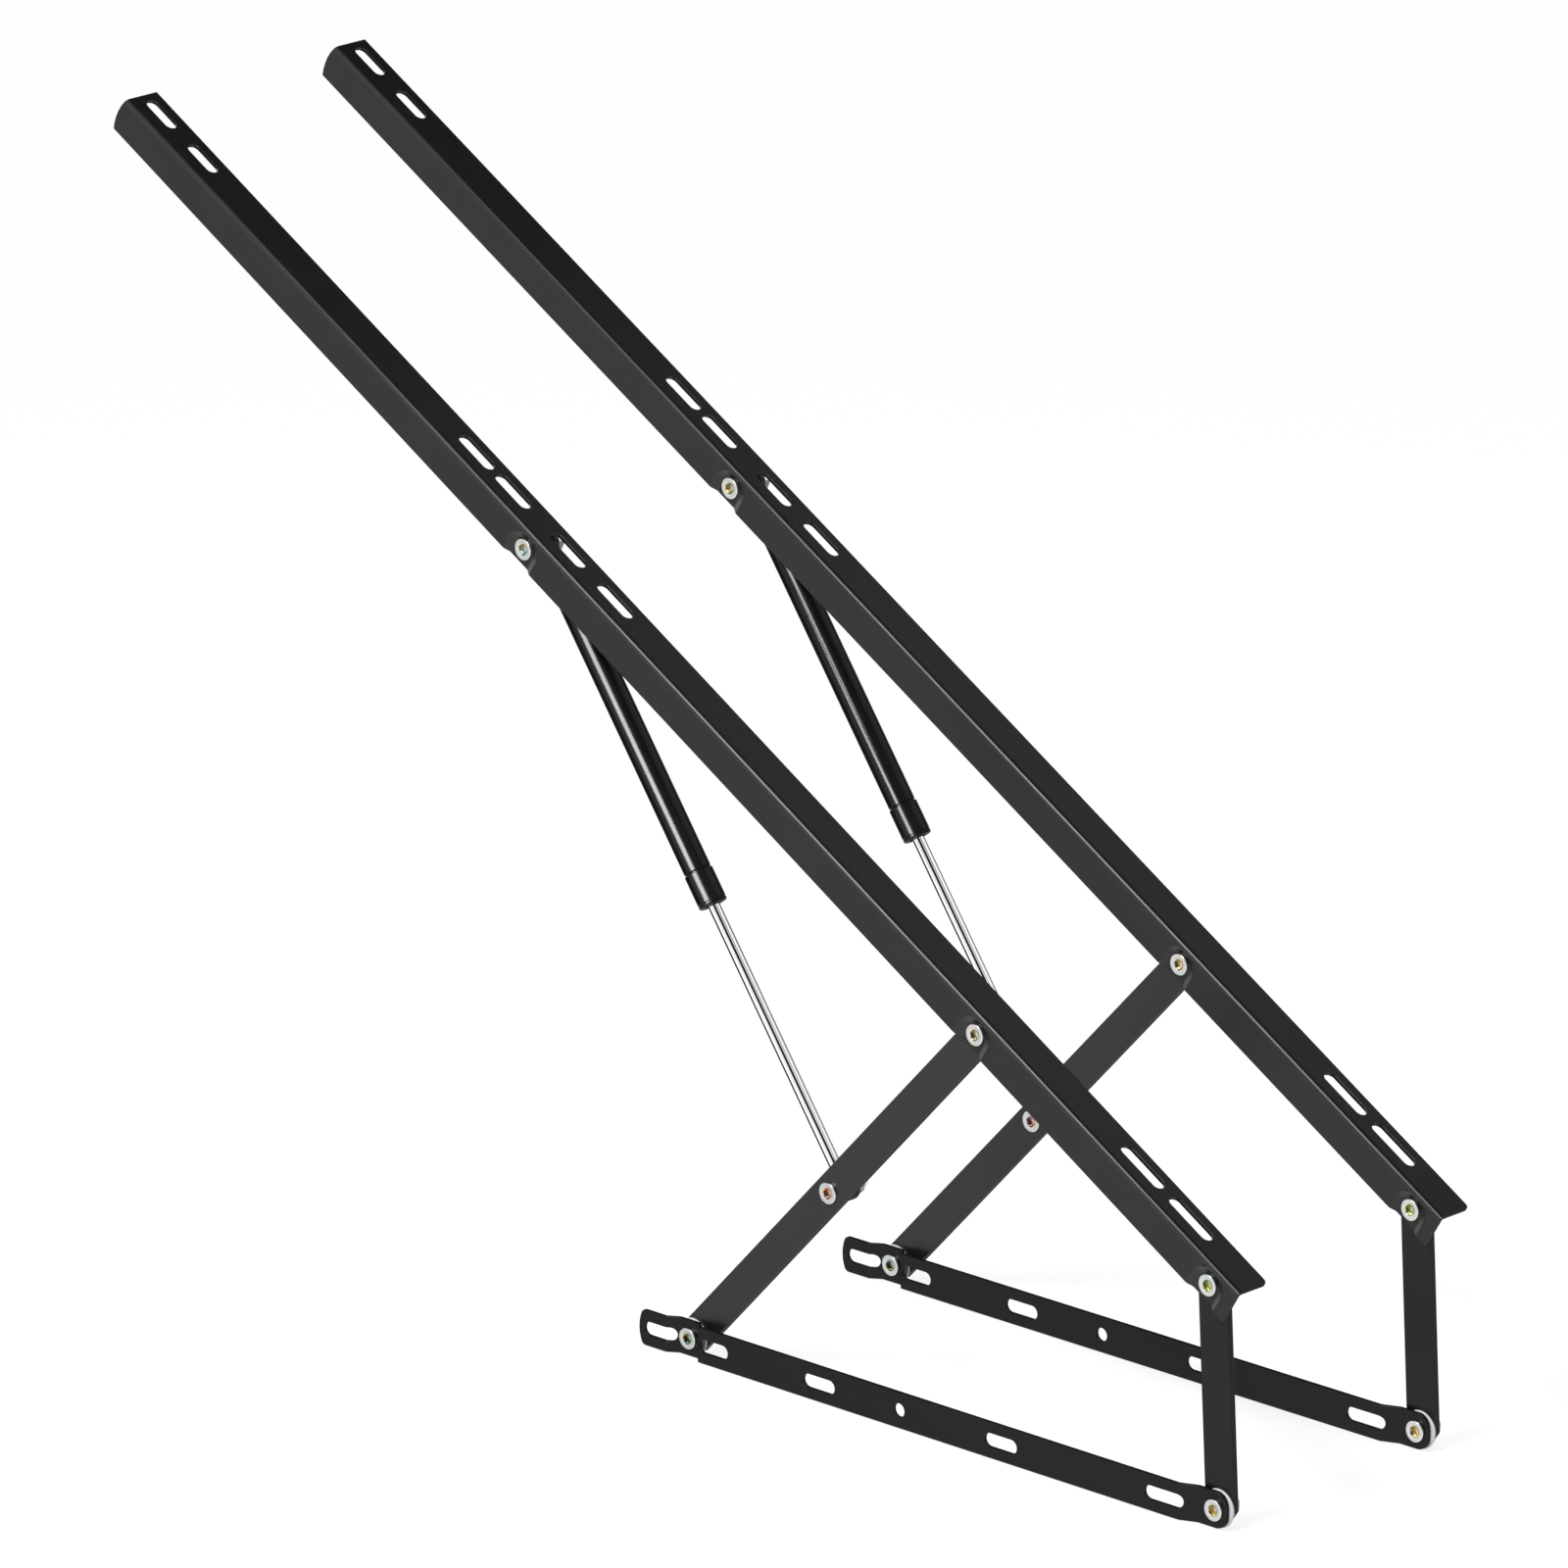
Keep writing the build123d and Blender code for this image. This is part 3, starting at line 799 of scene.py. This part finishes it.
def gloss_paint(name, rough, shine, wave):
    """Gloss black finish over drawn steel or moulded plastic, with slow waves in its mirror."""
    material = bpy.data.materials.new(name)
    shader = Shader(material)
    cloud = shader.noise(waves=60)
    inputs = {
        "Base Color": shader.blend(cloud, (0.003, 0.003, 0.003, 1), (0.006, 0.006, 0.007, 1)),
        "Roughness": rough + 0.05 * cloud,
        "Specular IOR Level": shine,
        "Normal": shader.bump(shader.noise(waves=150, detail=1.0), strength=wave, distance=0.1 * mm),
    }
    surface = shader.node("ShaderNodeBsdfPrincipled", {}, inputs)
    shader.node("ShaderNodeOutputMaterial", {}, {"Surface": surface})
    return material


def chrome():
    """Hard chrome: an almost clean mirror with a faint cloud in its gloss."""
    material = bpy.data.materials.new("hard_chrome")
    shader = Shader(material)
    cloud = shader.noise(waves=120)
    inputs = {
        "Base Color": shader.blend(cloud, (0.76, 0.76, 0.77, 1), (0.82, 0.82, 0.82, 1)),
        "Metallic": 1.0,
        "Roughness": 0.05 + 0.05 * cloud,
    }
    surface = shader.node("ShaderNodeBsdfPrincipled", {}, inputs)
    shader.node("ShaderNodeOutputMaterial", {}, {"Surface": surface})
    return material


def reach(node, origin, axis):
    """First and last place of a node along an axis, in millimetres from the origin."""
    mesh = nodes[node].data
    points = np.empty(len(mesh.vertices) * 3)
    mesh.vertices.foreach_get("co", points)
    along = (points.reshape(-1, 3) - np.array(origin)) @ np.array(axis) / mm
    return along.min(), along.max()


def tube_path(start, stop, cap_start):
    """Outline of the tube: its neck, its shoulder, the long wall, and the rolled end that the cap grips."""
    shoulder = start + stud_length
    roll = cap_start - groove_gap
    return rounded([
        (start, core_radius, 0),
        (start, stud_radius, stud_round),
        (shoulder, stud_radius, 0.3),
        (shoulder, tube_radius, tube_end_round),
        (roll, tube_radius, tube_roll_round),
        (roll, groove_radius, groove_round),
        (stop, groove_radius, 0),
        (stop, mouth_radius, 0),
        (stop - mouth_depth, mouth_radius, 0),
        (stop - mouth_depth, core_radius, 0),
    ])


def cap_path(start, stop, tube_stop):
    """Outline of the cap: its wall, a fine groove near the rim, the round nose, the funnel and the bore."""
    rim = stop - cap_rim
    groove = cap_radius - cap_rim_groove
    return rounded([
        (start, groove_radius + cap_fit, 0),
        (start, cap_radius, cap_edge),
        (rim, cap_radius, cap_rim_round),
        (rim + 0.3, groove, cap_rim_round),
        (rim + 0.7, groove, cap_rim_round),
        (rim + 1.0, cap_radius, cap_rim_round),
        (stop, cap_radius, cap_nose_round),
        (stop, cap_funnel_radius, cap_funnel_round),
        (stop - cap_funnel_depth, cap_funnel_foot, cap_funnel_round),
        (stop - cap_funnel_depth, cap_bore, 0.2),
        (tube_stop + 0.1, cap_bore, 0),
        (tube_stop + 0.1, groove_radius + cap_fit, 0),
    ])


def rod_path(start, stop):
    """Outline of the rod: its long shank and the thinner stud that screws into the eye."""
    return rounded([
        (start, core_radius, 0),
        (start, rod_radius, 0.3),
        (stop - stud_length, rod_radius, 0.5),
        (stop - stud_length, stud_radius, 0.2),
        (stop, stud_radius, stud_round),
        (stop, core_radius, 0),
    ])


tube_paint = gloss_paint("tube_enamel", rough=0.20, shine=0.12, wave=0.015)
cap_plastic = gloss_paint("cap_plastic", rough=0.22, shine=0.13, wave=0.03)
eye_paint = powder_coat("eye_paint", pale=0.010, shine=0.5)
rod_chrome = chrome()
guide_plastic = gloss_paint("guide_plastic", rough=0.4, shine=0.5, wave=0.05)
piston_steel = zinc("piston_steel", (0.55, 0.55, 0.56), rough=0.3)
spring_front = (0, -1, 0)
for unit in units:
    near, far = middle_of(unit + "_cylinder_eye")[2:]
    spring_depth = (near + far) / 2
    upper_x, upper_z = middle_of(unit + "_cylinder_pin")[:2]
    lower_x, lower_z = middle_of(unit + "_rod_pin")[:2]
    origin = Vector((upper_x, spring_depth, upper_z))
    axis = (Vector((lower_x, spring_depth, lower_z)) - origin).normalized()

    node = unit + "_gas_cylinder"
    start, stop = reach(node, origin, axis)
    cap_start, cap_stop = reach(unit + "_gas_end_cap", origin, axis)
    path = tube_path(start, stop, cap_start)
    name = node + "_painted"
    mesh = wrap(name, origin, axis, spring_front, path[:, 0], path[:, 1:])
    piece = dress(mesh, name, node, tube_paint)
    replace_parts(piece, node)
    lamp_lit.objects.link(piece)

    node = unit + "_gas_end_cap"
    path = cap_path(cap_start, cap_stop, stop)
    name = node + "_moulded"
    mesh = wrap(name, origin, axis, spring_front, path[:, 0], path[:, 1:], ring=True)
    piece = dress(mesh, name, node, cap_plastic)
    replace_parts(piece, node)
    lamp_lit.objects.link(piece)

    node = unit + "_gas_rod"
    path = rod_path(*reach(node, origin, axis))
    name = node + "_chromed"
    mesh = wrap(name, origin, axis, spring_front, path[:, 0], path[:, 1:])
    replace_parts(dress(mesh, name, node, rod_chrome), node)

    coated(unit + "_cylinder_eye", eye_edge, eye_paint)
    coated(unit + "_rod_eye", eye_edge, eye_paint)
    for node, material in ((unit + "_gas_guide", guide_plastic), (unit + "_gas_piston", piston_steel)):
        nodes[node].data.materials.clear()
        nodes[node].data.materials.append(material)
